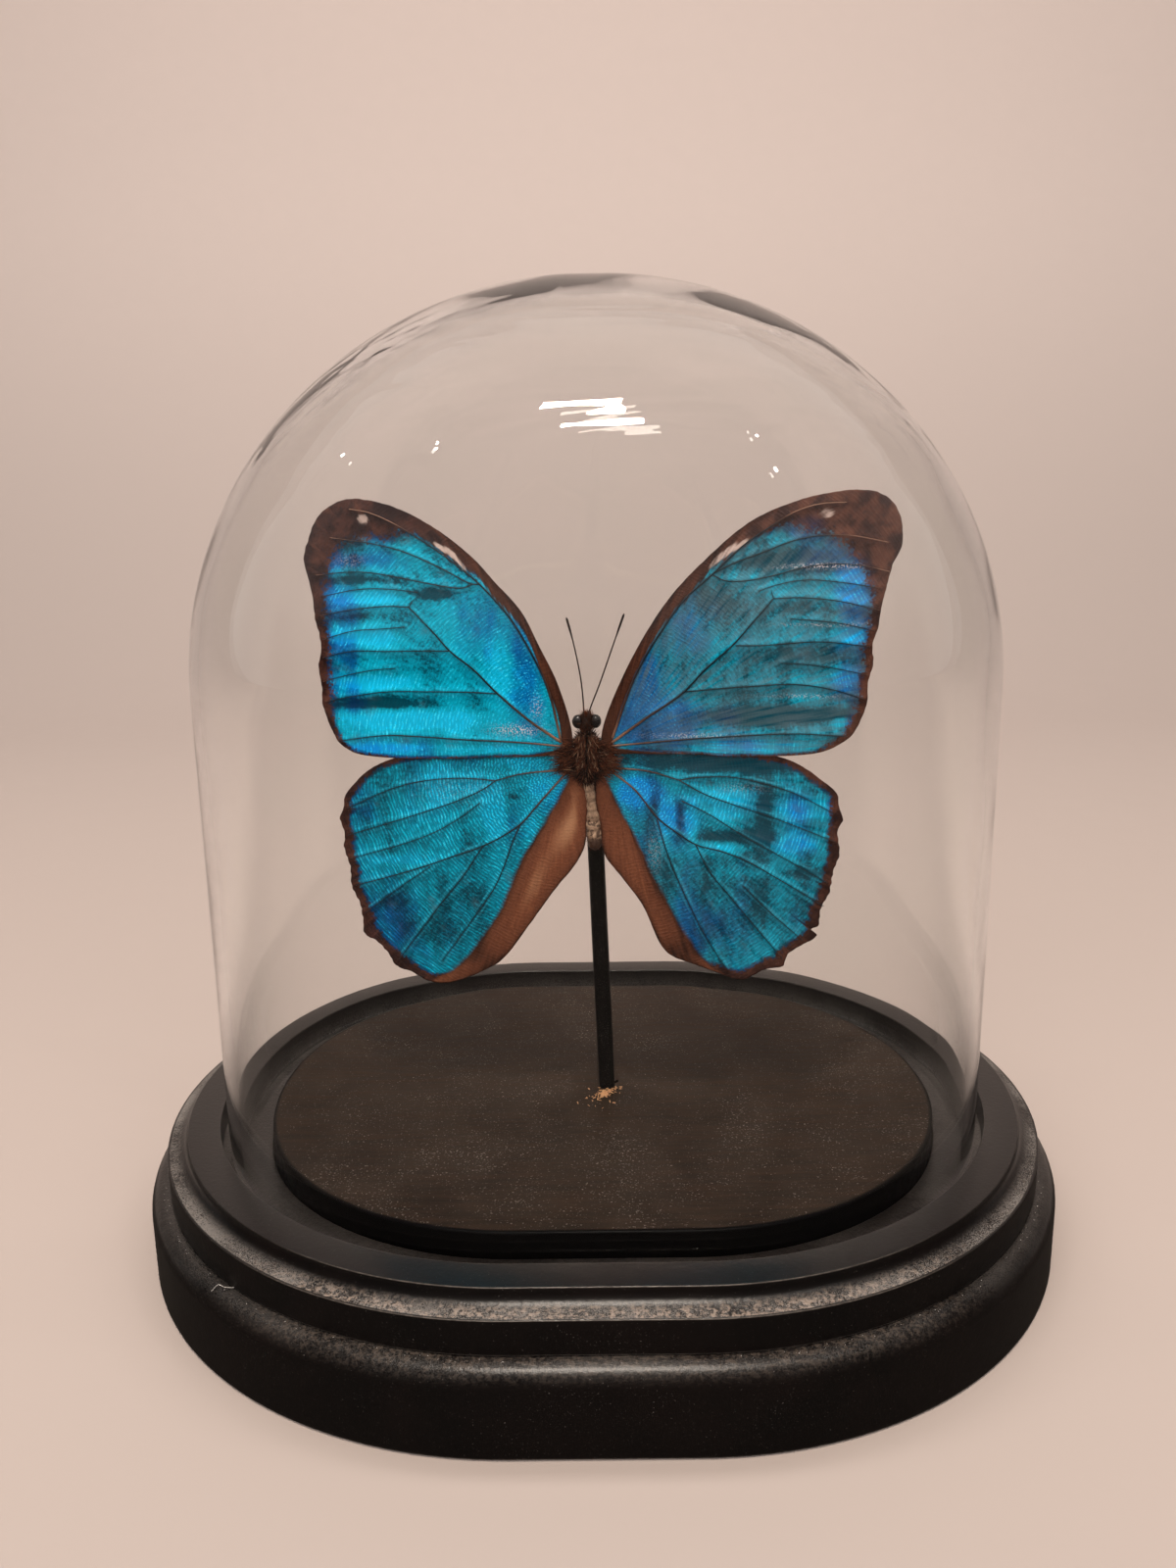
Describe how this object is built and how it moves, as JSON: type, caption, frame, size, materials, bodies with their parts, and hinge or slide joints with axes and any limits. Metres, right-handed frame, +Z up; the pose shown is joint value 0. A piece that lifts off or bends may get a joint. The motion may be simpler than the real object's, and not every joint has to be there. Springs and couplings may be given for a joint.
{
  "type": "mounted butterfly in a glass dome",
  "caption": "Blue butterfly mounted upright on a thin black rod under an oval glass dome, standing on a black moulded oval wooden base.",
  "frame": {"origin": "middle of the base's underside", "axes": "+Z up; +X to the right as seen from the front, along the base's longer side; +Y to the back"},
  "size_m": [0.196, 0.164, 0.1961],
  "materials": {
    "black_wood": "black lacquer, satin, fine speckle on the moulded cove",
    "deck_wood": "black-brown lacquer, semi-gloss, a little dust",
    "clear_glass": "clear blown glass",
    "rod_black": "black, matt",
    "body_fur": "short dark brown insect hair",
    "body_dry": "dry skin, rubbed bare in places",
    "feeler": "dark dry horn-like skin",
    "wing_scales": "shimmering blue scales with dark brown margins and veins"
  },
  "bodies": {
    "root": {"base_plinth": "black_wood", "base_collar": "black_wood", "deck": "deck_wood", "glass_dome": "clear_glass", "rod": "rod_black", "thorax": "body_fur", "head": "body_fur", "abdomen": "body_dry", "antenna_left": "feeler", "antenna_right": "feeler", "forewing_left": "wing_scales", "forewing_right": "wing_scales", "hindwing_left": "wing_scales", "hindwing_right": "wing_scales"}
  },
  "joints": []
}
